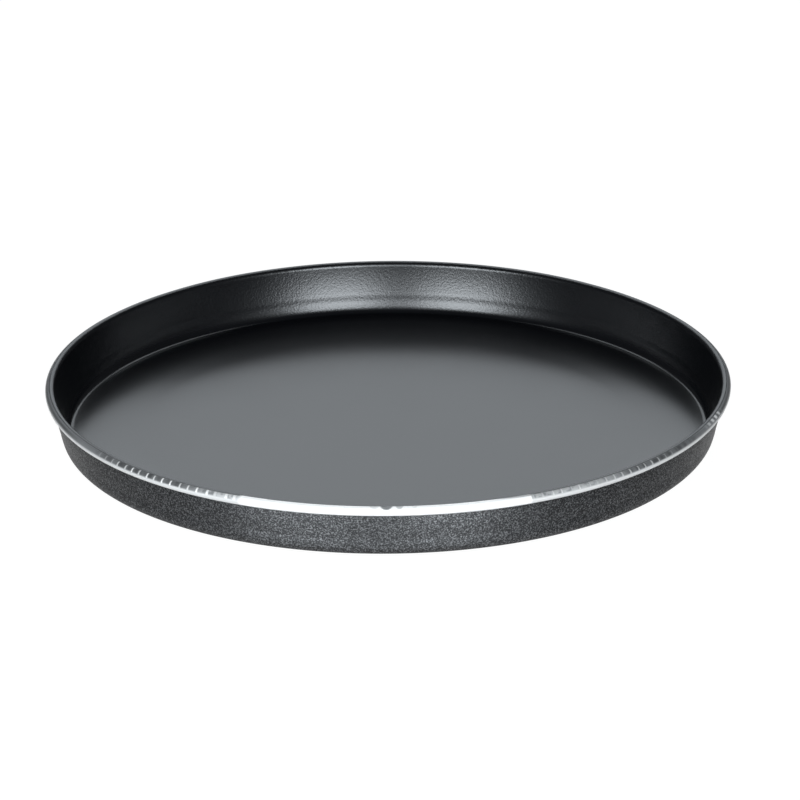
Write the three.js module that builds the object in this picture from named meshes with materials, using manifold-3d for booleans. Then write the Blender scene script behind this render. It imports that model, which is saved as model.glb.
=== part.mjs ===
// A round crisp plate for a microwave oven: an aluminium dish with a rolled rim, coated inside and out,
// with a heat-absorbing rubber layer and four feet under its base. Millimetres, +Z up, the origin on the
// surface that the feet stand on, under the middle of the dish.
import * as THREE from 'three';
import { mergeVertices } from 'three/addons/utils/BufferGeometryUtils.js';
import Module from 'manifold-3d';

const wasm = await Module();
wasm.setup();

// The aluminium dish
const RIM_DIAMETER = 305; // across the bead
const DISH_HEIGHT = 25.2; // from the underside of the metal base to the crown of the bead
const SHEET = 1.5; // thickness of the metal
const WALL_FLARE = 13; // degrees that the wall leans out
const OUTSIDE_BEND = 5; // outside radius of the bend between base and wall
const INSIDE_BEND = 5.5; // inside radius of that bend
const BEAD_PROUD = 2.6; // how far the bead stands out from the wall's outer face; its inner side is flush

// The two coats
const COAT = 0.2; // thickness of each coat
const BOND = 0.05; // clearance between bonded layers
const LINING_EDGE = 80; // degrees up from the horizontal, on the bead, where the inner coat stops

// The absorber layer under the base
const ABSORBER_THICKNESS = 2.4;
const ABSORBER_INSET = 12; // from the edge of the flat base to the edge of the layer
const ABSORBER_CHAMFER = 0.8; // on its lower edge
const COAT_EDGE_GAP = 0.5; // between the outer coat's inner edge and the layer

// The feet
const FOOT_COUNT = 4;
const FOOT_STANDOFF = 1.6; // how far the feet hold the layer off the surface
const FOOT_RADIUS = 8;
const FOOT_CHAMFER = 0.5; // on the foot's lower edge
const FOOT_INSET = 18; // from the edge of the layer to the middle of a foot
const STEM_RADIUS = 4.5;
const SOCKET_ROOF = 0.9; // rubber left above a foot's socket
const STEM_CLEARANCE = 0.3; // round the stem and above it

// How finely round shapes are cut
const DISH_SEGMENTS = 72;
const FOOT_SEGMENTS = 24;
const BEND_STEPS = 5;
const BEAD_STEPS = 7; // on each side of the inner coat's edge

// Sizes that follow from those above
const degrees = THREE.MathUtils.degToRad;
const flare = degrees(WALL_FLARE);
const beadRadius = (SHEET + BEAD_PROUD) / 2;
const absorberBottom = FOOT_STANDOFF;
const absorberTop = absorberBottom + ABSORBER_THICKNESS;
const baseUnderside = absorberTop + BOND;
const beadCentre = new THREE.Vector2(RIM_DIAMETER / 2 - beadRadius, baseUnderside + DISH_HEIGHT - beadRadius);

// The wall's direction up its slope, and its normal towards the inside of the dish
const up = new THREE.Vector2(Math.sin(flare), Math.cos(flare));
const inward = new THREE.Vector2(-Math.cos(flare), Math.sin(flare));

// Depth of the bead's centre behind the wall's outer metal face, and the sharp corner that the bend rounds off
const beadDepth = SHEET - beadRadius;
const wallTop = beadCentre.clone().addScaledVector(inward, -beadDepth);
const cornerRadius = wallTop.x - (wallTop.y - baseUnderside) * Math.tan(flare);
const cornerRun = 1 / Math.tan((Math.PI / 2 + flare) / 2); // from a corner to the end of a bend of radius 1
const absorberRadius = cornerRadius - OUTSIDE_BEND * cornerRun - ABSORBER_INSET;
const footCircle = absorberRadius - FOOT_INSET;

/** Points on an arc, both ends included. Angles are in radians from the outward direction. */
function arc(centre, radius, from, to, steps) {
  return Array.from({ length: steps + 1 }, (_, i) => {
    const angle = from + ((to - from) * i) / steps;
    return new THREE.Vector2(centre.x + radius * Math.cos(angle), centre.y + radius * Math.sin(angle));
  });
}

/** A bend's arc, from the base up to the wall, for faces at a depth measured in from the metal's outer face. */
function bend(depth, radius) {
  const centre = new THREE.Vector2(cornerRadius - (depth + radius) * cornerRun, baseUnderside + depth + radius);
  return arc(centre, radius, -Math.PI / 2, -flare, BEND_STEPS);
}

/** The angle on the bead, below its centre, where the wall's outer face runs into it. */
function wallMeetsBead() {
  const along = -Math.sqrt(beadRadius ** 2 - beadDepth ** 2);
  return inward.clone().multiplyScalar(-beadDepth).addScaledVector(up, along).angle();
}

/** A solid of revolution about Z from a profile of radius and height, anticlockwise round its section. */
function turned(profile, segments) {
  return new THREE.LatheGeometry(profile, segments).rotateX(Math.PI / 2);
}

/** A manifold solid from a closed geometry. */
function solidOf(geometry) {
  const bare = geometry.clone();
  bare.deleteAttribute('normal');
  bare.deleteAttribute('uv');
  const merged = mergeVertices(bare);
  const corners = merged.index.array;
  const triangles = [];
  for (let i = 0; i < corners.length; i += 3) {
    const [a, b, c] = corners.slice(i, i + 3);
    if (a !== b && b !== c && c !== a) triangles.push(a, b, c);
  }
  const mesh = new wasm.Mesh({
    numProp: 3,
    vertProperties: new Float32Array(merged.attributes.position.array),
    triVerts: new Uint32Array(triangles),
  });
  return new wasm.Manifold(mesh);
}

/** A geometry from a manifold solid. */
function geometryOf(solid) {
  const mesh = solid.getMesh();
  const geometry = new THREE.BufferGeometry();
  geometry.setAttribute('position', new THREE.BufferAttribute(mesh.vertProperties, 3));
  geometry.setIndex(new THREE.BufferAttribute(mesh.triVerts, 1));
  geometry.computeVertexNormals();
  return geometry;
}

/** The bead's inner half, from the edge of the inner coat down to the flush wall, at a gap above the metal. */
function innerBead(gap) {
  return arc(beadCentre, beadRadius + gap, degrees(LINING_EDGE), Math.PI - flare, BEAD_STEPS);
}

/** The metal dish: base, bend, wall and the bead that the rim is rolled into. */
function panShell() {
  return turned([
    new THREE.Vector2(0, baseUnderside),
    ...bend(0, OUTSIDE_BEND),
    ...arc(beadCentre, beadRadius, wallMeetsBead() - 2 * Math.PI, degrees(LINING_EDGE), BEAD_STEPS),
    ...innerBead(0).slice(1),
    ...bend(SHEET, INSIDE_BEND).reverse(),
    new THREE.Vector2(0, baseUnderside + SHEET),
  ], DISH_SEGMENTS);
}

/** The inner coat: over the floor and wall and the inner half of the bead, up to its crown. */
function nonstickLining() {
  const face = (gap) => [
    new THREE.Vector2(0, baseUnderside + SHEET + gap),
    ...bend(SHEET + gap, INSIDE_BEND - gap),
    ...innerBead(gap).reverse(),
  ];
  return turned([...face(BOND), ...face(BOND + COAT).reverse()], DISH_SEGMENTS);
}

/** The outer coat: from the edge of the absorber layer, round the bend and up the wall to the bead. */
function outerCoat() {
  const face = (gap) => [
    new THREE.Vector2(absorberRadius + COAT_EDGE_GAP, baseUnderside - gap),
    ...bend(-gap, OUTSIDE_BEND + gap),
    beadCentre.clone().addScaledVector(inward, -beadDepth - gap).addScaledVector(up, -beadRadius - BOND),
  ];
  const section = [...face(BOND + COAT), ...face(BOND).reverse()];
  return turned([...section, section[0]], DISH_SEGMENTS);
}

/** Where each foot stands. */
function footPlaces() {
  return Array.from({ length: FOOT_COUNT }, (_, i) => {
    const angle = ((i + 0.5) * 2 * Math.PI) / FOOT_COUNT;
    return new THREE.Vector3(footCircle * Math.cos(angle), footCircle * Math.sin(angle), 0);
  });
}

/** The rubber disc under the base, with a blind socket for each foot's stem. */
function absorberLayer() {
  const disc = turned([
    new THREE.Vector2(0, absorberBottom),
    new THREE.Vector2(absorberRadius - ABSORBER_CHAMFER, absorberBottom),
    new THREE.Vector2(absorberRadius, absorberBottom + ABSORBER_CHAMFER),
    new THREE.Vector2(absorberRadius, absorberTop),
    new THREE.Vector2(0, absorberTop),
  ], DISH_SEGMENTS);
  const socket = turned([
    new THREE.Vector2(0, 0),
    new THREE.Vector2(STEM_RADIUS + STEM_CLEARANCE, 0),
    new THREE.Vector2(STEM_RADIUS + STEM_CLEARANCE, absorberTop - SOCKET_ROOF),
    new THREE.Vector2(0, absorberTop - SOCKET_ROOF),
  ], FOOT_SEGMENTS);
  const layer = footPlaces().reduce(
    (solid, place) => solid.subtract(solidOf(socket.clone().translate(place.x, place.y, place.z))),
    solidOf(disc),
  );
  return geometryOf(layer);
}

/** A foot: a pad under the absorber layer and a stem in its socket, with its own origin under its middle. */
function foot() {
  const padTop = absorberBottom - BOND;
  const stemTop = absorberTop - SOCKET_ROOF - STEM_CLEARANCE;
  return turned([
    new THREE.Vector2(0, 0),
    new THREE.Vector2(FOOT_RADIUS - FOOT_CHAMFER, 0),
    new THREE.Vector2(FOOT_RADIUS, FOOT_CHAMFER),
    new THREE.Vector2(FOOT_RADIUS, padTop),
    new THREE.Vector2(STEM_RADIUS, padTop),
    new THREE.Vector2(STEM_RADIUS, stemTop),
    new THREE.Vector2(0, stemTop),
  ], FOOT_SEGMENTS);
}

/** A named mesh with a finish of its own. */
function piece(name, geometry, color, roughness, metalness) {
  const mesh = new THREE.Mesh(geometry, new THREE.MeshStandardMaterial({ color, roughness, metalness }));
  mesh.name = name;
  return mesh;
}

const crispPlate = new THREE.Group();
crispPlate.name = 'crisp_plate';
crispPlate.add(
  piece('pan_shell', panShell(), 0xc9cbcd, 0.28, 1.0),
  piece('nonstick_lining', nonstickLining(), 0x0d0d0f, 0.35, 0.0),
  piece('outer_coat', outerCoat(), 0x3a3b3d, 0.5, 0.0),
  piece('absorber_layer', absorberLayer(), 0x2a2827, 0.85, 0.0),
);
footPlaces().forEach((place, i) => {
  const mesh = piece(`foot_${i + 1}`, foot(), 0x55504c, 0.7, 0.0);
  mesh.position.copy(place);
  crispPlate.add(mesh);
});

export default crispPlate;
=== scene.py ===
"""Dresses a round microwave crisp plate: a coated aluminium dish with a rolled bare rim, on rubber feet."""
import logging
import math
import random
from dataclasses import dataclass
from enum import Enum
from typing import Any, Mapping, Sequence

import bmesh
import bpy
from mathutils import Matrix, Vector


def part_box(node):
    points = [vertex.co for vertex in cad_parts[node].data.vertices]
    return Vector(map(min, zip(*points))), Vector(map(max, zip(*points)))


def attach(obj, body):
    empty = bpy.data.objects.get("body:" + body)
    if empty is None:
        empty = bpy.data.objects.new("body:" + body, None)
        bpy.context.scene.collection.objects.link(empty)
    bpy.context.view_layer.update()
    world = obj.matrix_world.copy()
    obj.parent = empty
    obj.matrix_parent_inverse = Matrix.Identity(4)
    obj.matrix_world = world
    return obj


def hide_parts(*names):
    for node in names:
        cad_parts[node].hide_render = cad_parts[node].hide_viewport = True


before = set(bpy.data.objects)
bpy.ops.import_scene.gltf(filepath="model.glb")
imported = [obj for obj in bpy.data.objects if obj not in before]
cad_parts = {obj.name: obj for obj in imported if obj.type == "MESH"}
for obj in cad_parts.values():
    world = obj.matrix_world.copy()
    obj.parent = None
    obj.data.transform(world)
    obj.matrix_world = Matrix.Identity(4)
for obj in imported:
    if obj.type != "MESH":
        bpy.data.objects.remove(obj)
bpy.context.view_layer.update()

BODY = "root"
FULL_TURN = 2 * math.pi
MILLIMETRE = 0.001
SHARP_EDGE = math.radians(40)
WELD_DISTANCE = 0.001 * MILLIMETRE

log = logging.getLogger("crisp_plate")

Point = Vector
Colour = tuple[float, float, float]
Span = tuple[float, float]

# The ends of the rim's painted front highlight, in degrees round the axis from the front
PAINTED_HIGHLIGHT_STRETCH: Span = (-24.8, 23.5)


class Slot(Enum):
    """The record's material slots."""

    METAL = "bare_aluminium"
    LINING = "nonstick"
    SPECKLE = "speckled_coat"
    FERRITE = "ferrite_rubber"
    SILICONE = "silicone"


class Side(Enum):
    """The two front lamps' sides, as their bearings in degrees from straight in front."""

    LEFT = -27.5
    RIGHT = 18.2


# Shader building


class Value:
    """A shader socket that takes part in Python sums, each of which adds one Math node."""

    def __init__(self, graph: "Graph", socket: bpy.types.NodeSocket) -> None:
        """Wraps a socket of a graph."""
        self.graph = graph
        self.socket = socket

    def _math(self, operation: str, first: Any, second: Any = 0.0) -> "Value":
        """Adds a Math node.

        Args:
            operation: The Math node's operation.
            first: A value or a number.
            second: A value or a number, for the operations that use two.

        Returns:
            The node's result.
        """
        return self.graph.node("ShaderNodeMath", {"operation": operation}, {0: first, 1: second})

    def __add__(self, other: Any) -> "Value":
        """Sum."""
        return self._math("ADD", self, other)

    def __radd__(self, other: Any) -> "Value":
        """Sum, with the number first."""
        return self._math("ADD", other, self)

    def __sub__(self, other: Any) -> "Value":
        """Difference."""
        return self._math("SUBTRACT", self, other)

    def __rsub__(self, other: Any) -> "Value":
        """Difference, with the number first."""
        return self._math("SUBTRACT", other, self)

    def __mul__(self, other: Any) -> "Value":
        """Product."""
        return self._math("MULTIPLY", self, other)

    def __rmul__(self, other: Any) -> "Value":
        """Product, with the number first."""
        return self._math("MULTIPLY", other, self)

    def __truediv__(self, other: Any) -> "Value":
        """Quotient."""
        return self._math("DIVIDE", self, other)

    def __rtruediv__(self, other: Any) -> "Value":
        """Quotient, with the number first."""
        return self._math("DIVIDE", other, self)

    def __abs__(self) -> "Value":
        """Size without its sign."""
        return self._math("ABSOLUTE", self)

    def larger(self, other: Any) -> "Value":
        """The larger of two values."""
        return self._math("MAXIMUM", self, other)

    def whole(self) -> "Value":
        """The whole number at or below the value."""
        return self._math("FLOOR", self)

    def turn(self, across: "Value") -> "Value":
        """The angle, in degrees, whose rise is this value and whose run is another."""
        return self._math("ARCTAN2", self, across) * math.degrees(1.0)


class Graph:
    """A node tree that is filled node by node."""

    def __init__(self, owner: bpy.types.ID) -> None:
        """Empties the owner's node tree and gives it an output.

        Args:
            owner: A material or a world.
        """
        owner.use_nodes = True
        self.tree = owner.node_tree
        self.tree.nodes.clear()
        kind = "ShaderNodeOutputWorld" if isinstance(owner, bpy.types.World) else "ShaderNodeOutputMaterial"
        self.output = self.tree.nodes.new(kind)

    def node(
        self,
        kind: str,
        settings: Mapping[str, Any] | None = None,
        inputs: Mapping[Any, Any] | None = None,
        output: str | int = 0,
    ) -> Value:
        """Adds a node.

        Args:
            kind: The node's type.
            settings: Its properties, set first. The name stops holds a ramp's places and colours.
            inputs: Numbers, colours or values for its sockets, by name or place.
            output: The output to return, by name or place.

        Returns:
            The chosen output.
        """
        made = self.tree.nodes.new(kind)
        for name, setting in (settings or {}).items():
            if name == "stops":
                self._set_stops(made.color_ramp, setting)
            else:
                setattr(made, name, setting)
        for name, given in (inputs or {}).items():
            if isinstance(given, Value):
                self.tree.links.new(given.socket, made.inputs[name])
            else:
                made.inputs[name].default_value = given
        return Value(self, made.outputs[output])

    @staticmethod
    def _set_stops(ramp: bpy.types.ColorRamp, stops: Sequence[tuple[float, Colour]]) -> None:
        """Gives a ramp its stops.

        Args:
            ramp: The ramp to fill.
            stops: Places from 0 to 1, each with its colour.
        """
        while len(ramp.elements) < len(stops):
            ramp.elements.new(1.0)
        for element, (place, colour) in zip(ramp.elements, stops):
            element.position = place
            element.color = (*colour, 1.0)

    def object_point(self) -> Value:
        """The shaded point in the object's own frame."""
        return self.node("ShaderNodeTexCoord", output="Object")

    def part(self, vector: Value, axis: str) -> Value:
        """One of a vector's parts, X, Y or Z."""
        return self.node("ShaderNodeSeparateXYZ", inputs={"Vector": vector}, output=axis)

    def radius(self, point: Value) -> Value:
        """A point's distance from the Z axis."""
        flat = self.node("ShaderNodeVectorMath", {"operation": "MULTIPLY"}, {0: point, 1: (1.0, 1.0, 0.0)})
        return self.node("ShaderNodeVectorMath", {"operation": "LENGTH"}, {0: flat}, "Value")

    def noise(self, point: Value, per_metre: float, detail: float = 2.0, distortion: float = 0.0) -> Value:
        """Noise over an object.

        Args:
            point: Where the noise is read.
            per_metre: How many of its features lie in a metre.
            detail: How many finer layers it has.
            distortion: How far it is twisted.

        Returns:
            A value from 0 to 1.
        """
        sizes = {"Vector": point, "Scale": per_metre, "Detail": detail, "Distortion": distortion}
        return self.node("ShaderNodeTexNoise", inputs=sizes)

    def chance(self, index: Value) -> Value:
        """A number from 0 to 1 that an index draws."""
        return self.node("ShaderNodeTexWhiteNoise", {"noise_dimensions": "1D"}, {"W": index})

    def ramp(self, factor: Value, stops: Sequence[tuple[float, Colour]]) -> Value:
        """A colour from a ramp."""
        return self.node("ShaderNodeValToRGB", {"stops": stops}, {"Fac": factor})

    def between(self, value: Value, low: float, high: float) -> Value:
        """A smooth step from 0 at low to 1 at high."""
        limits = {"Value": value, "From Min": low, "From Max": high}
        return self.node("ShaderNodeMapRange", {"interpolation_type": "SMOOTHSTEP"}, limits)

    def mix(self, factor: Value, first: Any, second: Any) -> Value:
        """A colour between two colours.

        Args:
            factor: 0 for the first colour, 1 for the second.
            first: A colour or a value.
            second: A colour or a value.

        Returns:
            The mixed colour.
        """
        start, end = (given if isinstance(given, Value) else (*given, 1.0) for given in (first, second))
        # A Mix node's colours go in at its places 6 and 7 and come out at its place 2
        return self.node("ShaderNodeMix", {"data_type": "RGBA"}, {0: factor, 6: start, 7: end}, 2)

    def tipped_normal(self, lift: float) -> Value:
        """The surface's normal, tipped upwards.

        Args:
            lift: The length along Z that is added to the normal.

        Returns:
            The tipped normal, of length 1.
        """
        normal = self.node("ShaderNodeNewGeometry", output="Normal")
        raised = self.node("ShaderNodeVectorMath", {"operation": "ADD"}, {0: normal, 1: (0.0, 0.0, lift)})
        return self.node("ShaderNodeVectorMath", {"operation": "NORMALIZE"}, {0: raised})

    def bump(self, height: Value, depth: float, normal: Value | None = None) -> Value:
        """A normal bent by a height field.

        Args:
            height: The field, from 0 to 1.
            depth: How far 1 stands above 0, in metres.
            normal: The normal to bend, when it isn't the surface's own.

        Returns:
            The bent normal.
        """
        given = {"Height": height, "Distance": depth}
        if normal is not None:
            given["Normal"] = normal
        return self.node("ShaderNodeBump", inputs=given)

    def finish(self, shader: Value) -> None:
        """Joins a shader to the output."""
        self.tree.links.new(shader.socket, self.output.inputs["Surface"])


def blend(share: Value, first: Any, second: Any) -> Value:
    """A number on the way from the first to the second."""
    return first + (second - first) * share


def grey(level: float) -> Colour:
    """A neutral colour."""
    return (level, level, level)


# Finishes


@dataclass(frozen=True)
class Band:
    """A stretch of angles, in degrees, that fades in over one span and out over another."""

    fade_in: Span
    fade_out: Span

    def mask(self, graph: Graph, angle: Value) -> Value:
        """1 inside the stretch and 0 outside it."""
        return graph.between(angle, *self.fade_in) * (1.0 - graph.between(angle, *self.fade_out))


@dataclass(frozen=True)
class DullPatch:
    """A dull place in the rim's painted front highlight, where the painted grey shows.

    Its centre and half width are degrees round the axis, and its reach is degrees down the bead.
    """

    centre: float
    half_width: float
    reach: float
    strength: float


@dataclass(frozen=True)
class BareAluminium:
    """The rim's bare metal, with its light painted into its colour: a painted highlight in front and along
    the bead's foot, elsewhere a dull painted grey in place of its reflection, with painted shade and
    painted glints.

    Turns are degrees round the axis from the front, and lifts are degrees up round the bead's own section.
    """

    bead_centre: Point
    # Painted highlight: near white, where the bare rim catches the lamps in front and along the bead's foot
    painted_highlight: Colour = (0.96, 0.94, 0.915)
    # Painted grey in place of the bare metal's reflection, darker for painted shade and paler on the bead's
    # top for painted light
    painted_grey: Colour = (0.2, 0.2, 0.2)
    painted_shade: Colour = (0.06, 0.06, 0.06)
    painted_top_light: Colour = (0.29, 0.29, 0.29)
    side_metallic: float = 0.1
    crown_metallic: float = 0.95
    bright_roughness: float = 0.5
    crown_roughness: float = 0.32
    painted_grey_roughness: float = 0.42
    crown_lift: Span = (69.0, 84.0)
    front: Band = Band((-25.2, -24.4), (23.3, 23.7))
    # The strip is a painted highlight along the bead's foot, weaker outside the front
    strip: float = 0.64
    strip_lift: Span = (-5.0, 25.0)
    strip_below_dark: float = 7.0
    strip_rise: float = 9.0
    strip_rise_turn: Span = (26.0, 46.0)
    shade_middle: float = 3.5
    dark_lift: Span = (12.0, 30.0)
    dark_beside: Band = Band((34.0, 42.0), (52.0, 64.0))
    dashes_per_degree: float = 0.62
    dash_edge: Span = (0.4, 0.6)
    dash_darkness: Span = (0.4, 0.9)
    dark_aside: Band = Band((64.0, 72.0), (88.0, 98.0))
    dark_aside_lift: Span = (46.0, 66.0)
    aside_darkness: float = 0.7
    marks: int = 205
    marks_turn: Span = (44.0, 58.0)
    marks_lift: Band = Band((-2.0, 16.0), (72.0, 86.0))
    mark_place: Span = (0.4, 0.6)
    mark_strength: Span = (0.5, 0.9)
    mark_width: float = 0.13
    mark_edge: Span = (0.25, 1.0)
    foot_width: float = 0.07
    foot_lift: Span = (10.0, 34.0)
    left_width: float = 0.16
    right_fading: float = 0.4
    flecks_turn: Band = Band((64.5, 70.5), (72.0, 75.0))
    flecks_lift: Span = (22.0, 42.0)
    fleck_edge: Span = (0.1, 0.4)
    # Grainy painted light at the edges of the front highlight
    left_fringe: Band = Band((-35.8, PAINTED_HIGHLIGHT_STRETCH[0]), PAINTED_HIGHLIGHT_STRETCH)
    left_fringe_share: float = 0.5
    right_fringe: Band = Band(PAINTED_HIGHLIGHT_STRETCH, (32.5, 44.5))
    right_fringe_share: float = 0.3
    fringe_per_metre: float = 420.0
    fringe_edge: Span = (0.3, 0.6)
    patch_top: float = 112.0
    patch_edge: Span = (0.6, 1.25)
    patches: tuple[DullPatch, ...] = (
        DullPatch(-0.45, 1.0, 82.0, 1.0),
        DullPatch(1.65, 0.65, 70.0, 0.55),
        DullPatch(-2.4, 0.8, 66.0, 0.25),
        DullPatch(4.1, 0.5, 66.0, 0.2),
        DullPatch(24.0, 6.5, 52.0, 0.7),
    )
    lines_per_metre: float = 9000.0
    line_depth: float = 0.003 * MILLIMETRE
    clouds_per_metre: float = 260.0
    cloud_roughness: float = 0.06

    def material(self) -> bpy.types.Material:
        """Makes the material.

        Returns:
            The bare metal, with its highlight, reflection and shade painted into its colour.
        """
        made = bpy.data.materials.new("bare_aluminium")
        graph = Graph(made)
        point = graph.object_point()
        radius = graph.radius(point)
        height = graph.part(point, "Z")
        turn = graph.part(point, "X").turn(-1.0 * graph.part(point, "Y"))
        lift = (height - self.bead_centre.y).turn(radius - self.bead_centre.x)
        # Painted shade on the grey: broken stretches beside the front and a low band at the sides
        dark = self._painted_shade(graph, turn, lift)
        # The painted highlight along the bead's foot: narrower beside the painted shade, taller near the
        # front
        close = 1.0 - graph.between(abs(turn), *self.strip_rise_turn)
        strip_lift = lift + self.strip_below_dark * dark - self.strip_rise * close
        below = 1.0 - graph.between(strip_lift, *self.strip_lift)
        crown = graph.between(lift, *self.crown_lift)
        front = self.front.mask(graph, turn)
        front_highlight = front * self._front_highlight(graph, turn, lift)
        strip = below * blend(front, self.strip, 1.0)
        # Where the highlight is painted, the metal is also made metallic: the front stretch, the glints and
        # the foot strip
        highlight_mask = (front_highlight + (1.0 - front) * self._painted_glints(graph, turn, lift)).larger(strip)
        across = graph.node("ShaderNodeCombineXYZ", inputs={"X": radius, "Y": height})
        lines = graph.noise(across, self.lines_per_metre, 1.0)
        clouds = graph.noise(point, self.clouds_per_metre, 3.0)
        rough = blend(highlight_mask, self.painted_grey_roughness, blend(crown, self.bright_roughness, self.crown_roughness))
        # The painted reflection: grey, paler on the bead's top, darkened where shade is painted
        painted_grey = graph.mix(dark, graph.mix(crown, self.painted_grey, self.painted_top_light), self.painted_shade)
        shader = graph.node(
            "ShaderNodeBsdfPrincipled",
            inputs={
                "Base Color": graph.mix(highlight_mask, painted_grey, self.painted_highlight),
                "Metallic": highlight_mask * blend(crown, self.side_metallic, self.crown_metallic),
                "Roughness": rough + self.cloud_roughness * (clouds - 0.5),
                "Normal": graph.bump(lines, self.line_depth),
            },
        )
        graph.finish(shader)
        return made

    def _painted_shade(self, graph: Graph, turn: Value, lift: Value) -> Value:
        """Where the painted grey darkens into painted shade: broken stretches beside the front, and a low
        band at the sides.

        Args:
            graph: The material's graph.
            turn: Degrees round the axis from the front.
            lift: Degrees up round the bead's own section.

        Returns:
            1 where the painted shade is darkest, 0 where there is none.
        """
        aside = abs(turn - self.shade_middle)
        along = graph.node("ShaderNodeCombineXYZ", inputs={"X": turn})
        dashes = graph.between(graph.noise(along, self.dashes_per_degree, 1.0), *self.dash_edge)
        near = self.dark_beside.mask(graph, aside) * blend(dashes, *self.dash_darkness)
        low = 1.0 - graph.between(lift, *self.dark_aside_lift)
        far = self.aside_darkness * self.dark_aside.mask(graph, aside) * low
        return (near + far) * graph.between(lift, *self.dark_lift)

    def _front_highlight(self, graph: Graph, turn: Value, lift: Value) -> Value:
        """The painted highlight in front: full all over, less its dull patches.

        Args:
            graph: The material's graph.
            turn: Degrees round the axis from the front.
            lift: Degrees up round the bead's own section.

        Returns:
            1 where the metal is bare, 0 where it isn't.
        """
        kept: Any = 1.0
        for patch in self.patches:
            across = (turn - patch.centre) / patch.half_width
            down = (self.patch_top - lift) / patch.reach
            dull = 1.0 - graph.between(across * across + down * down, *self.patch_edge)
            kept = kept * (1.0 - patch.strength * dull)
        return kept

    def _painted_glints(self, graph: Graph, turn: Value, lift: Value) -> Value:
        """The painted glints across the bead, each wider at its foot, with grainy painted light at the
        edges of the front highlight.

        Args:
            graph: The material's graph.
            turn: Degrees round the axis from the front.
            lift: Degrees up round the bead's own section.

        Returns:
            1 on a mark, 0 between marks.
        """
        # The marks are painted glints, for light caught on fine ridges of the bead; the fringe is grainy
        # painted light
        cell = turn * (self.marks / 360.0)
        index = cell.whole()
        away = abs(cell - index - blend(graph.chance(index), *self.mark_place))
        strength = blend(graph.chance(index + 0.5), *self.mark_strength)
        left = self.left_fringe.mask(graph, turn)
        right = self.right_fringe.mask(graph, turn)
        foot = 1.0 - graph.between(lift, *self.foot_lift)
        width = self.mark_width + self.foot_width * foot + self.left_width * left
        near = 1.0 - graph.between(abs(turn), *self.marks_turn)
        mark = (1.0 - graph.between(away / width, *self.mark_edge)) * near
        tick = mark * (1.0 - self.right_fading * graph.between(turn, *PAINTED_HIGHLIGHT_STRETCH))
        flecked = self.flecks_turn.mask(graph, turn) * graph.between(lift, *self.flecks_lift)
        fleck = flecked * (1.0 - graph.between(away, *self.fleck_edge))
        grain = graph.noise(graph.object_point(), self.fringe_per_metre, 1.0)
        fringe_share = self.left_fringe_share * left + self.right_fringe_share * right
        fringe = fringe_share * graph.between(grain, *self.fringe_edge)
        return (strength * tick.larger(fleck)).larger(fringe) * self.marks_lift.mask(graph, lift)


@dataclass(frozen=True)
class NonstickFinish:
    """The black satin inner coat, smooth on the floor and finely grained on the wall."""

    floor_height: float
    colour: Colour = (0.001, 0.0013, 0.0024)
    index: float = 1.75
    roughness: float = 0.21
    wall_roughness: float = 0.29
    grain_per_metre: float = 1100.0
    grain_depth: float = 0.07 * MILLIMETRE
    grain_height: Span = (2.2 * MILLIMETRE, 4.6 * MILLIMETRE)
    grain_darkness: float = 0.7
    clouds_per_metre: float = 35.0
    cloud_roughness: float = 0.03

    def material(self) -> bpy.types.Material:
        """Makes the material.

        Returns:
            The black satin.
        """
        made = bpy.data.materials.new("nonstick")
        graph = Graph(made)
        point = graph.object_point()
        wall = graph.between(graph.part(point, "Z") - self.floor_height, *self.grain_height)
        grain = graph.noise(point, self.grain_per_metre, 1.5)
        clouds = graph.noise(point, self.clouds_per_metre, 2.0)
        dark = tuple(self.grain_darkness * part for part in self.colour)
        shade = graph.ramp(grain, [(0.35, dark), (0.75, self.colour)])
        rough = blend(wall, self.roughness, self.wall_roughness)
        shader = graph.node(
            "ShaderNodeBsdfPrincipled",
            inputs={
                "Base Color": shade,
                "Roughness": rough + self.cloud_roughness * (clouds - 0.5),
                "IOR": self.index,
                "Normal": graph.bump(grain * wall, self.grain_depth),
            },
        )
        graph.finish(shader)
        return made


@dataclass(frozen=True)
class SpeckledFinish:
    """The dark grey outer coat with its fine pale speckle of metal flakes, which lie tipped upwards."""

    dark: Colour = (0.003, 0.003, 0.0032)
    middle: Colour = (0.022, 0.022, 0.023)
    pale: Colour = (0.122, 0.122, 0.124)
    speckle_per_metre: float = 1500.0
    metallic: float = 0.4
    roughness: float = 0.42
    flake_gloss: float = 0.3
    tip: float = 0.5
    speckle_depth: float = 0.03 * MILLIMETRE

    def material(self) -> bpy.types.Material:
        """Makes the material.

        Returns:
            The speckled lacquer.
        """
        made = bpy.data.materials.new("speckled_coat")
        graph = Graph(made)
        point = graph.object_point()
        speckle = graph.noise(point, self.speckle_per_metre, 1.5, 0.5)
        shade = graph.ramp(speckle, [(0.34, self.dark), (0.5, self.middle), (0.66, self.pale)])
        shader = graph.node(
            "ShaderNodeBsdfPrincipled",
            inputs={
                "Base Color": shade,
                "Metallic": self.metallic,
                "Roughness": self.roughness - self.flake_gloss * (speckle - 0.5),
                "Normal": graph.bump(speckle, self.speckle_depth, graph.tipped_normal(self.tip)),
            },
        )
        graph.finish(shader)
        return made


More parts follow.
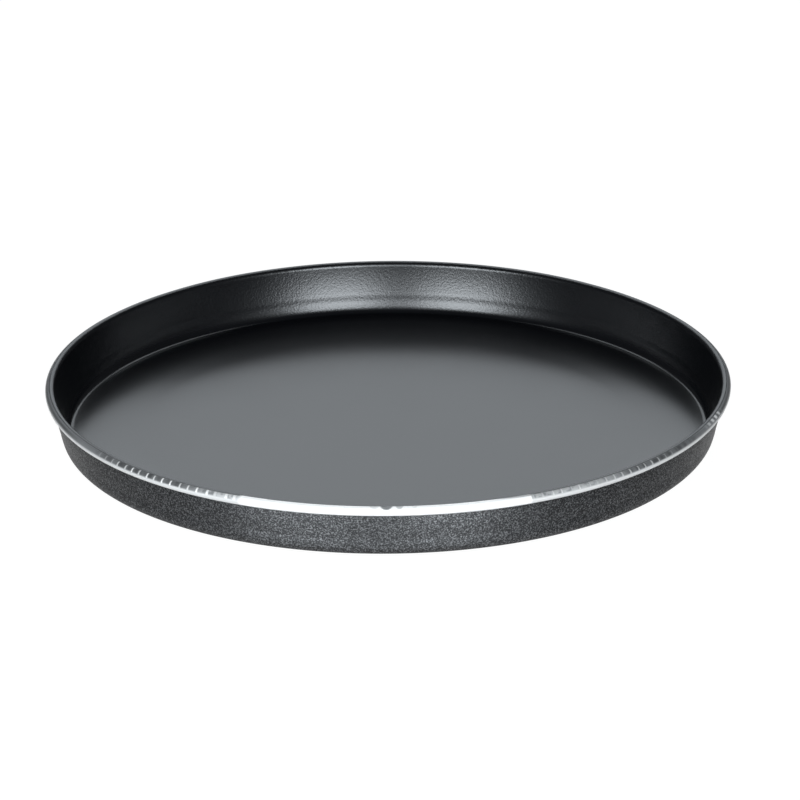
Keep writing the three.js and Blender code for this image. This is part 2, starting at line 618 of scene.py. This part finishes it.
@dataclass(frozen=True)
class RubberFinish:
    """A dull moulded rubber with a fine mottle and a pebbled skin."""

    name: str
    dark: Colour
    pale: Colour
    roughness: float = 0.72
    mottle_per_metre: float = 60.0
    mottle_roughness: float = 0.16
    pebbles_per_metre: float = 1100.0
    pebble_depth: float = 0.05 * MILLIMETRE

    def material(self) -> bpy.types.Material:
        """Makes the material.

        Returns:
            The rubber.
        """
        made = bpy.data.materials.new(self.name)
        graph = Graph(made)
        point = graph.object_point()
        mottle = graph.noise(point, self.mottle_per_metre, 5.0, 0.4)
        pebbles = graph.noise(point, self.pebbles_per_metre, 2.0)
        shade = graph.ramp(0.6 * mottle + 0.4 * pebbles, [(0.32, self.dark), (0.68, self.pale)])
        shader = graph.node(
            "ShaderNodeBsdfPrincipled",
            inputs={
                "Base Color": shade,
                "Roughness": self.roughness + self.mottle_roughness * (mottle - 0.5),
                "Normal": graph.bump(pebbles, self.pebble_depth),
            },
        )
        graph.finish(shader)
        return made


# Mesh building


def arc(centre: Point, radius: float, start: float, stop: float, steps: int) -> list[Point]:
    """Points along an arc of a section.

    Args:
        centre: The arc's centre, as radius and height.
        radius: The arc's radius.
        start: Its first angle, in radians up from the outward direction.
        stop: Its last angle.
        steps: How many chords it has.

    Returns:
        The points, with both ends.
    """
    angles = [start + (stop - start) * i / steps for i in range(steps + 1)]
    return [centre + radius * Vector((math.cos(a), math.sin(a))) for a in angles]


def smooth_step(value: float, low: float, high: float) -> float:
    """A smooth step from 0 at low to 1 at high."""
    share = min(max((value - low) / (high - low), 0.0), 1.0)
    return share * share * (3 - 2 * share)


def spun(section: Sequence[Point], steps: int, sectors: int = 8, closed: bool = False) -> bmesh.types.BMesh:
    """Turns a section about the Z axis into a closed mesh, by turning one sector and then copying it round.

    Args:
        section: Points of radius and height, from axis to axis, or round a ring's section.
        steps: How many steps each sector has.
        sectors: How many sectors make the full turn.
        closed: Whether the section's last point joins its first.

    Returns:
        The mesh.
    """
    mesh = bmesh.new()
    corners = [mesh.verts.new((point.x, 0.0, point.y)) for point in section]
    pairs = list(zip(corners, corners[1:]))
    if closed:
        pairs.append((corners[-1], corners[0]))
    edges = [mesh.edges.new(pair) for pair in pairs]
    about = {"cent": (0, 0, 0), "axis": (0, 0, 1), "dvec": (0, 0, 0), "use_merge": False}
    sector = FULL_TURN / sectors
    bmesh.ops.spin(mesh, geom=corners + edges, angle=sector, steps=steps, use_duplicate=False, **about)
    turned = mesh.verts[:] + mesh.edges[:] + mesh.faces[:]
    rest = FULL_TURN - sector
    bmesh.ops.spin(mesh, geom=turned, angle=rest, steps=sectors - 1, use_duplicate=True, **about)
    bmesh.ops.remove_doubles(mesh, verts=mesh.verts[:], dist=WELD_DISTANCE)
    bmesh.ops.recalc_face_normals(mesh, faces=mesh.faces[:])
    return mesh


def made_piece(mesh: bmesh.types.BMesh, name: str, sharp: float = SHARP_EDGE) -> bpy.types.Object:
    """Turns a mesh into an object with smooth shading.

    Args:
        mesh: The mesh, which is freed.
        name: The object's name.
        sharp: The angle from which an edge is shaded sharp.

    Returns:
        The object, linked to the scene.
    """
    data = bpy.data.meshes.new(name)
    mesh.to_mesh(data)
    mesh.free()
    data.polygons.foreach_set("use_smooth", [True] * len(data.polygons))
    data.set_sharp_from_angle(angle=sharp)
    piece = bpy.data.objects.new(name, data)
    bpy.context.scene.collection.objects.link(piece)
    return piece


def dress(piece: bpy.types.Object, material: bpy.types.Material, slot: Slot, node: str) -> None:
    """Gives a piece its finish and its place in the frame.

    Args:
        piece: The piece.
        material: Its material.
        slot: The record's slot for it.
        node: The solid that it stands for.
    """
    piece.data.materials.clear()
    piece.data.materials.append(material)
    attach(piece, BODY)
    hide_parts(node)
    log.info("%s: %d faces, %s", piece.name, len(piece.data.polygons), slot.value)


@dataclass(frozen=True)
class Crease:
    """A faint crease round a wall; it starts and stops at shares of the wall's height."""

    depth: float
    start: float
    stop: float


@dataclass(frozen=True)
class DishSection:
    """Half of a cut through the dish, in metres: radius across, height up."""

    rim_radius: float
    base_underside: float
    crown: float
    sheet: float = 1.5 * MILLIMETRE
    flare: float = math.radians(13)
    outside_bend: float = 5.7 * MILLIMETRE
    inside_bend: float = 5.5 * MILLIMETRE
    bead_proud: float = 2.6 * MILLIMETRE
    coat: float = 0.2 * MILLIMETRE
    bond: float = 0.05 * MILLIMETRE
    wide_bend: float = 15.5 * MILLIMETRE
    tight_bend: float = 3.4 * MILLIMETRE
    bend_change: float = math.radians(32)
    bend_raise: float = 3.1 * MILLIMETRE
    margin: float = 30.0 * MILLIMETRE
    margin_steps: int = 8
    wall_bulge: float = 0.29 * MILLIMETRE
    bulge_starts: Span = (-0.02, 0.2)
    inner_crease: Crease = Crease(0.1 * MILLIMETRE, 0.0, 0.17)
    outer_crease: Crease = Crease(0.32 * MILLIMETRE, 0.06, 0.27)
    bend_steps: int = 9
    wall_steps: int = 40

    @classmethod
    def from_frame(cls) -> "DishSection":
        """Takes the rim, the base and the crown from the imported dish."""
        low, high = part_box("pan_shell")
        return cls(rim_radius=high.x, base_underside=low.z, crown=high.z)

    @property
    def bead_radius(self) -> float:
        """Radius of the bead's own round section."""
        return (self.sheet + self.bead_proud) / 2

    @property
    def bead_centre(self) -> Point:
        """Middle of the bead's section."""
        return Vector((self.rim_radius - self.bead_radius, self.crown - self.bead_radius))

    @property
    def bead_depth(self) -> float:
        """How far the bead's middle lies behind the wall's outer metal face."""
        return self.sheet - self.bead_radius

    @property
    def bead_inside(self) -> float:
        """The angle on the bead at which the wall's inner face runs on from it."""
        return math.pi - self.flare

    @property
    def bead_outside(self) -> float:
        """Where the wall's outer face runs into the bead, below its middle.

        Returns:
            The angle on the bead.
        """
        along = -math.sqrt(self.bead_radius**2 - self.bead_depth**2)
        meeting = self.up * along - self.inward * self.bead_depth
        return math.atan2(meeting.y, meeting.x) % FULL_TURN - FULL_TURN

    @property
    def up(self) -> Point:
        """Direction up the wall."""
        return Vector((math.sin(self.flare), math.cos(self.flare)))

    @property
    def inward(self) -> Point:
        """The wall's normal, towards the inside of the dish."""
        return Vector((-math.cos(self.flare), math.sin(self.flare)))

    @property
    def floor(self) -> float:
        """Height of the coated floor inside the dish."""
        return self.base_underside + self.sheet + self.bond + self.coat

    def bend(self, depth: float, radius: float) -> list[Point]:
        """A bend's arc, from base to wall.

        Args:
            depth: How far in from the metal's outer face the arc lies.
            radius: The arc's radius.

        Returns:
            Points of the arc.
        """
        face = self.bead_centre - self.inward * self.bead_depth
        corner = face.x - (face.y - self.base_underside) * math.tan(self.flare)
        run = (depth + radius) / math.tan((math.pi / 2 + self.flare) / 2)
        centre = Vector((corner - run, self.base_underside + depth + radius))
        return arc(centre, radius, -math.pi / 2, -self.flare, self.bend_steps)

    def inside(self, reach: float) -> list[Point]:
        """The inner face up to the wall's foot: a floor with a lifted edge, a tight bend and a wide one.

        Args:
            reach: How far the face lies off the metal.

        Returns:
            The face's points, from the axis outwards.
        """
        level = self.base_underside + self.sheet + reach
        foot = self.bend(self.sheet + reach, self.inside_bend - reach)[-1] + self.up * self.bend_raise
        wide_centre = foot + self.inward * (self.wide_bend - reach)
        wide = arc(wide_centre, self.wide_bend - reach, -self.bend_change, -self.flare, self.bend_steps)
        radius = self.tight_bend - reach
        centre = wide[0].lerp(wide_centre, radius / (self.wide_bend - reach))
        rise = centre.y - radius - level
        shares = [i / self.margin_steps for i in range(self.margin_steps)]
        margin = [
            Vector((centre.x - self.margin * (1 - share), level + rise * smooth_step(share, 0.0, 1.0)))
            for share in shares
        ]
        tight = arc(centre, radius, -math.pi / 2, -self.bend_change, self.bend_steps)
        return [Vector((0.0, level)), *margin, *tight, *wide[1:]]

    def wall(self, foot: Point, head: Point, crease: Crease) -> list[Point]:
        """The wall between a bend and the bead: a faint crease above the bend, then pressed out a little.

        Args:
            foot: Where the wall leaves the bend.
            head: Where it reaches the bead.
            crease: The crease in that face.

        Returns:
            The points between those two.
        """
        points = []
        for i in range(1, self.wall_steps):
            share = i / self.wall_steps
            out = 4 * self.wall_bulge * share * (1 - share) * smooth_step(share, *self.bulge_starts)
            out += crease.depth * (share - smooth_step(share, crease.start, crease.stop))
            points.append(foot.lerp(head, share) - self.inward * out)
        return points


def round_axis(point: Vector) -> float:
    """A point's angle round the axis, in radians from the front towards +X."""
    return math.atan2(point.x, -point.y)


@dataclass(frozen=True)
class MetalDish:
    """The pressed dish and its rolled rim."""

    section: DishSection
    steps: int = 60
    bead_steps: int = 28

    def build(self) -> bpy.types.Object:
        """Makes the dish.

        Returns:
            The dish, as an object.
        """
        cut = self.section
        outer = cut.bend(0.0, cut.outside_bend)
        bead = arc(cut.bead_centre, cut.bead_radius, cut.bead_outside, cut.bead_inside, self.bead_steps)
        inner = cut.inside(0.0)
        profile = [
            Vector((0.0, cut.base_underside)),
            *outer,
            *cut.wall(outer[-1], bead[0], cut.outer_crease),
            *bead,
            *reversed(cut.wall(inner[-1], bead[-1], cut.inner_crease)),
            *reversed(inner),
        ]
        return made_piece(spun(profile, self.steps), "rolled_dish")

    def dress(self, piece: bpy.types.Object) -> None:
        """Gives the dish its bare metal."""
        dress(piece, BareAluminium(self.section.bead_centre).material(), Slot.METAL, "pan_shell")


@dataclass(frozen=True)
class NonstickLining:
    """The inner coat, which ends in a thin wavering edge on the bead, further in at the rim's painted front
    highlight.

    Its edges are angles on the bead, in radians up from the outward direction.
    """

    section: DishSection
    steps: int = 72
    bead_steps: int = 14
    edge: float = math.radians(80)
    front_edge: float = math.radians(118)
    back_edge: float = math.radians(24)
    front: Span = (math.radians(PAINTED_HIGHLIGHT_STRETCH[0]), math.radians(PAINTED_HIGHLIGHT_STRETCH[1]))
    front_fade: float = math.radians(0.6)
    back: Span = (math.radians(140), math.radians(156))
    waver: float = math.radians(3)
    waves: int = 9
    wave_counts: tuple[int, int] = (7, 90)
    wave_sizes: Span = (0.3, 1.0)
    below_bead: float = math.radians(1)
    bead_reach: float = 1.3
    edge_thickness: float = 0.03 * MILLIMETRE
    sharp: float = math.radians(60)
    seed: int = 5

    def build(self) -> bpy.types.Object:
        """Makes the lining.

        Returns:
            The lining, as an object.
        """
        cut = self.section
        profile = [*self._face(cut.bond, 0.0), *reversed(self._face(cut.bond, cut.coat))]
        mesh = spun(profile, self.steps)
        self._waver_edge(mesh)
        return made_piece(mesh, "inner_lining", self.sharp)

    def _face(self, gap: float, thickness: float) -> list[Point]:
        """One face of the lining, from the axis to the edge on the bead.

        Args:
            gap: Clearance above the metal.
            thickness: The coat's thickness there, thinned towards its edge on the bead.

        Returns:
            The face's points.
        """
        cut = self.section
        inner = cut.inside(gap + thickness)
        bead = []
        thin = min(thickness, self.edge_thickness)
        for i in range(self.bead_steps + 1):
            share = i / self.bead_steps
            radius = cut.bead_radius + gap + thin + (thickness - thin) * (1 - share**2)
            angle = cut.bead_inside + (self.edge - cut.bead_inside) * share
            bead.append(cut.bead_centre + radius * Vector((math.cos(angle), math.sin(angle))))
        return [*inner, *cut.wall(inner[-1], bead[0], cut.inner_crease), *bead]

    def _edge_at(self, turn: float) -> float:
        """Where on the bead the coat ends, without its waver.

        Args:
            turn: Angle round the axis from the front.

        Returns:
            The angle on the bead.
        """
        fade = self.front_fade
        begun, ended = (smooth_step(turn, end - fade, end + fade) for end in self.front)
        front = begun * (1 - ended)
        back = smooth_step(abs(turn), *self.back)
        return self.edge + (self.front_edge - self.edge) * front + (self.back_edge - self.edge) * back

    def _waver_edge(self, mesh: bmesh.types.BMesh) -> None:
        """Moves the edge on the bead to its place at each angle round the axis, and lets it waver.

        Args:
            mesh: The spun lining.
        """
        chance = random.Random(self.seed)
        waves = []
        for _ in range(self.waves):
            count = chance.randint(*self.wave_counts)
            waves.append((count, chance.uniform(0, FULL_TURN), chance.uniform(*self.wave_sizes)))
        cut = self.section
        start = cut.bead_inside - self.below_bead
        for corner in mesh.verts:
            out = Vector((math.hypot(corner.co.x, corner.co.y), corner.co.z)) - cut.bead_centre
            angle = math.atan2(out.y, out.x)
            if out.length > cut.bead_radius * self.bead_reach or not 0 < angle < start:
                continue
            turn = round_axis(corner.co)
            swing = sum(size * math.sin(count * turn + phase) for count, phase, size in waves) / len(waves)
            edge = self._edge_at(turn) + self.waver * swing
            moved = start + (angle - start) * (start - edge) / (start - self.edge)
            radial = Vector((corner.co.x, corner.co.y, 0.0)).normalized()
            place = cut.bead_centre + out.length * Vector((math.cos(moved), math.sin(moved)))
            corner.co = radial * place.x + Vector((0, 0, place.y))

    def dress(self, piece: bpy.types.Object) -> None:
        """Gives the lining its black satin."""
        dress(piece, NonstickFinish(self.section.floor).material(), Slot.LINING, "nonstick_lining")


@dataclass(frozen=True)
class OuterCoat:
    """The speckled coat, from the edge of the rubber layer round the bend and up to the bead."""

    section: DishSection
    layer_radius: float
    layer_gap: float = 0.5 * MILLIMETRE
    steps: int = 60

    def build(self) -> bpy.types.Object:
        """Makes the coat.

        Returns:
            The coat, as an object.
        """
        cut = self.section
        profile = [*self._face(cut.bond + cut.coat), *reversed(self._face(cut.bond))]
        return made_piece(spun(profile, self.steps, closed=True), "speckled_wall")

    def _face(self, gap: float) -> list[Point]:
        """One face of the coat, from the underside to the bead.

        Args:
            gap: Distance from the metal.

        Returns:
            The face's points.
        """
        cut = self.section
        bend = cut.bend(-gap, cut.outside_bend + gap)
        top = cut.bead_centre - cut.inward * (cut.bead_depth + gap) - cut.up * (cut.bead_radius + cut.bond)
        wall = cut.wall(bend[-1], top, cut.outer_crease)
        edge = Vector((self.layer_radius + self.layer_gap, cut.base_underside - gap))
        return [edge, *bend, *wall, top]

    def dress(self, piece: bpy.types.Object) -> None:
        """Gives the coat its speckle."""
        dress(piece, SpeckledFinish().material(), Slot.SPECKLE, "outer_coat")


@dataclass(frozen=True)
class AbsorberLayer:
    """The heat-absorbing rubber disc under the base, with a socket for each foot."""

    low: Vector
    high: Vector
    feet: tuple[Vector, ...]
    socket_radius: float = 4.8 * MILLIMETRE
    socket_roof: float = 0.9 * MILLIMETRE
    edge_round: float = 0.8 * MILLIMETRE
    edge_steps: int = 6
    steps: int = 30
    socket_steps: int = 6

    def build(self) -> bpy.types.Object:
        """Makes the disc and cuts its sockets.

        Returns:
            The disc, as an object.
        """
        radius = self.high.x
        corner = Vector((radius - self.edge_round, self.low.z + self.edge_round))
        profile = [
            Vector((0.0, self.low.z)),
            *arc(corner, self.edge_round, -math.pi / 2, 0.0, self.edge_steps),
            Vector((radius, self.high.z)),
            Vector((0.0, self.high.z)),
        ]
        disc = made_piece(spun(profile, self.steps), "absorber_disc")
        cutters = [self._cutter(place) for place in self.feet]
        for cutter in cutters:
            cut = disc.modifiers.new("socket", "BOOLEAN")
            cut.operation = "DIFFERENCE"
            cut.solver = "EXACT"
            cut.object = cutter
        settled = disc.evaluated_get(bpy.context.evaluated_depsgraph_get())
        data = bpy.data.meshes.new_from_object(settled)
        data.set_sharp_from_angle(angle=SHARP_EDGE)
        disc.modifiers.clear()
        disc.data = data
        for cutter in cutters:
            bpy.data.objects.remove(cutter)
        return disc

    def _cutter(self, place: Vector) -> bpy.types.Object:
        """Makes the plug that cuts one socket.

        Args:
            place: The foot's place on the floor.

        Returns:
            The plug, as an object.
        """
        top = self.high.z - self.socket_roof
        profile = [
            Vector((0.0, 0.0)),
            Vector((self.socket_radius, 0.0)),
            Vector((self.socket_radius, top)),
            Vector((0.0, top)),
        ]
        mesh = spun(profile, self.socket_steps)
        bmesh.ops.translate(mesh, verts=mesh.verts[:], vec=place)
        return made_piece(mesh, "socket_plug")

    def dress(self, piece: bpy.types.Object) -> None:
        """Gives the disc its filled rubber."""
        finish = RubberFinish("ferrite_rubber", (0.018, 0.016, 0.015), (0.05, 0.045, 0.042))
        dress(piece, finish.material(), Slot.FERRITE, "absorber_layer")


@dataclass(frozen=True)
class Foot:
    """A silicone foot: a round pad with a stem in the rubber layer's socket."""

    node: str
    pad_height: float
    stem_radius: float = 4.5 * MILLIMETRE
    edge_round: float = 0.5 * MILLIMETRE
    edge_steps: int = 5
    steps: int = 8

    @property
    def place(self) -> Vector:
        """The foot's middle on the floor."""
        low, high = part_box(self.node)
        return Vector(((low.x + high.x) / 2, (low.y + high.y) / 2, 0.0))

    def build(self) -> bpy.types.Object:
        """Makes the foot.

        Returns:
            The foot, as an object.
        """
        low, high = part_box(self.node)
        radius = (high.x - low.x) / 2
        corner = Vector((radius - self.edge_round, self.edge_round))
        shoulder = Vector((radius - self.edge_round, self.pad_height - self.edge_round))
        profile = [
            Vector((0.0, 0.0)),
            *arc(corner, self.edge_round, -math.pi / 2, 0.0, self.edge_steps),
            *arc(shoulder, self.edge_round, 0.0, math.pi / 2, self.edge_steps),
            Vector((self.stem_radius, self.pad_height)),
            Vector((self.stem_radius, high.z)),
            Vector((0.0, high.z)),
        ]
        mesh = spun(profile, self.steps)
        bmesh.ops.translate(mesh, verts=mesh.verts[:], vec=self.place)
        return made_piece(mesh, f"rubber_{self.node}")

    def dress(self, piece: bpy.types.Object, material: bpy.types.Material) -> None:
        """Gives the foot its silicone."""
        dress(piece, material, Slot.SILICONE, self.node)


# Studio


@dataclass(frozen=True)
class Camera:
    """The photograph's viewpoint, fitted to the dish's outlines.

    Its distance is in rim radii and its angles are in radians.
    """

    rim_radius: float
    crown: float
    below_crown: float = 2.0 * MILLIMETRE
    distance: float = 18.0
    elevation: float = 0.3711
    yaw: float = 0.00206
    pitch: float = 0.00293
    roll: float = -0.00794
    focal_pixels: float = 6163.25
    picture_pixels: float = 800.0
    sensor: float = 36.0

    def place(self) -> None:
        """Makes the camera and sets it as the scene's."""
        reach = self.distance * self.rim_radius
        spot = Vector((0.0, -math.cos(self.elevation), math.sin(self.elevation))) * reach
        spot.z += self.crown - self.below_crown
        tilt = self.elevation + self.pitch
        level = math.cos(tilt)
        look = Vector((math.sin(self.yaw) * level, math.cos(self.yaw) * level, -math.sin(tilt)))
        right = look.cross(Vector((0, 0, 1))).normalized()
        up = right.cross(look)
        across = right * math.cos(self.roll) + up * math.sin(self.roll)
        upward = up * math.cos(self.roll) - right * math.sin(self.roll)
        lens = bpy.data.cameras.new("camera")
        lens.sensor_width = self.sensor
        lens.lens = self.focal_pixels * self.sensor / self.picture_pixels
        eye = bpy.data.objects.new("camera", lens)
        bpy.context.scene.collection.objects.link(eye)
        turn = Matrix((across, upward, -look)).transposed().to_4x4()
        eye.matrix_world = Matrix.Translation(spot) @ turn
        bpy.context.scene.camera = eye


@dataclass(frozen=True)
class SoftPanel:
    """A soft lamp with an even face, given by its radiance so that its size can change by itself."""

    name: str
    spot: Vector
    aim: Vector
    width: float
    height: float
    radiance: float
    colour: Colour

    def place(self) -> None:
        """Hangs the panel in the studio, unseen by the camera itself."""
        lamp = bpy.data.lights.new(self.name, "AREA")
        lamp.shape = "RECTANGLE"
        lamp.size = self.width
        lamp.size_y = self.height
        lamp.energy = self.radiance * math.pi * self.width * self.height
        lamp.color = self.colour
        holder = bpy.data.objects.new(self.name, lamp)
        bpy.context.scene.collection.objects.link(holder)
        away = (self.aim - self.spot).to_track_quat("-Z", "Y").to_matrix().to_4x4()
        holder.matrix_world = Matrix.Translation(self.spot) @ away
        holder.visible_camera = False


@dataclass(frozen=True)
class Studio:
    """A pale floor, two soft boxes in front, a panel behind and another over it, and a dim room."""

    aim_height: float = 0.3
    floor_reach: float = 9.0
    floor_sides: int = 96
    floor_drop: float = 0.05 * MILLIMETRE
    floor_colour: float = 0.92
    floor_glow: float = 0.88
    floor_white: float = 1.1
    tint: Colour = (0.935, 1.0, 1.055)
    room: float = 0.05
    box_distance: float = 1.5
    box_size: tuple[float, float] = (0.79, 0.82)
    box_height: float = 0.61
    box_radiance: float = 8.3
    back_distance: float = 1.35
    back_size: tuple[float, float] = (0.7, 0.9)
    back_height: float = 0.6
    back_radiance: float = 1.02
    over_distance: float = 1.35
    over_elevation: float = math.radians(50)
    over_size: tuple[float, float] = (1.0, 0.5)
    over_radiance: float = 1.5

    def build(self) -> None:
        """Makes the floor, the room and the lamps."""
        bpy.context.scene.view_settings.view_transform = "Standard"
        self._floor()
        self._room()
        aim = Vector((0.0, 0.0, self.aim_height))
        for side in Side:
            bearing = math.radians(side.value)
            spot = Vector((math.sin(bearing), -math.cos(bearing), 0.0)) * self.box_distance
            spot.z = self.box_height
            name = f"soft_box_{side.name.lower()}"
            SoftPanel(name, spot, aim, *self.box_size, self.box_radiance, self.tint).place()
        behind = Vector((0.0, self.back_distance, self.back_height))
        SoftPanel("back_panel", behind, aim, *self.back_size, self.back_radiance, self.tint).place()
        rise = self.over_elevation
        over = Vector((0.0, math.cos(rise), math.sin(rise))) * self.over_distance
        SoftPanel("over_panel", over, Vector(), *self.over_size, self.over_radiance, self.tint).place()

    def _floor(self) -> None:
        """Lays the pale floor, which shows white, keeps the object's shadow and is clear from below."""
        mesh = bmesh.new()
        bmesh.ops.create_circle(mesh, cap_ends=True, segments=self.floor_sides, radius=self.floor_reach)
        bmesh.ops.translate(mesh, verts=mesh.verts[:], vec=(0, 0, -self.floor_drop))
        floor = made_piece(mesh, "studio_floor")
        paint = bpy.data.materials.new("studio_floor")
        graph = Graph(paint)
        rays = ("Is Camera Ray", "Is Glossy Ray", "Is Transmission Ray")
        camera, glossy, through = (graph.node("ShaderNodeLightPath", output=name) for name in rays)
        share = self.floor_glow * camera.larger(glossy).larger(through)
        matt = graph.node("ShaderNodeBsdfDiffuse", inputs={"Color": (*grey(self.floor_colour), 1.0)})
        white = {"Color": (*grey(1.0), 1.0), "Strength": self.floor_white}
        glow = graph.node("ShaderNodeEmission", inputs=white)
        top = graph.node("ShaderNodeMixShader", inputs={0: share, 1: matt, 2: glow})
        below = graph.node("ShaderNodeNewGeometry", output="Backfacing")
        clear = graph.node("ShaderNodeBsdfTransparent")
        graph.finish(graph.node("ShaderNodeMixShader", inputs={0: below, 1: top, 2: clear}))
        floor.data.materials.append(paint)

    def _room(self) -> None:
        """Makes the dim room all round."""
        world = bpy.data.worlds.new("studio_room")
        bpy.context.scene.world = world
        graph = Graph(world)
        light = {"Color": (*self.tint, 1.0), "Strength": self.room}
        graph.finish(graph.node("ShaderNodeBackground", inputs=light))


def main() -> None:
    """Builds the plate piece by piece, then the studio round it."""
    logging.basicConfig(level=logging.INFO, format="%(message)s")
    section = DishSection.from_frame()
    absorber_low, absorber_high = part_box("absorber_layer")
    pad_height = absorber_low.z - section.bond
    feet = [Foot(name, pad_height) for name in sorted(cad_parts) if name.startswith("foot_")]

    dish = MetalDish(section)
    dish.dress(dish.build())
    lining = NonstickLining(section)
    lining.dress(lining.build())
    coat = OuterCoat(section, absorber_high.x)
    coat.dress(coat.build())
    absorber = AbsorberLayer(absorber_low, absorber_high, tuple(foot.place for foot in feet))
    absorber.dress(absorber.build())
    silicone = RubberFinish("silicone", (0.07, 0.065, 0.06), (0.14, 0.13, 0.12), roughness=0.6).material()
    for foot in feet:
        foot.dress(foot.build(), silicone)

    Studio().build()
    Camera(section.rim_radius, section.crown).place()


if __name__ == "__main__":
    main()
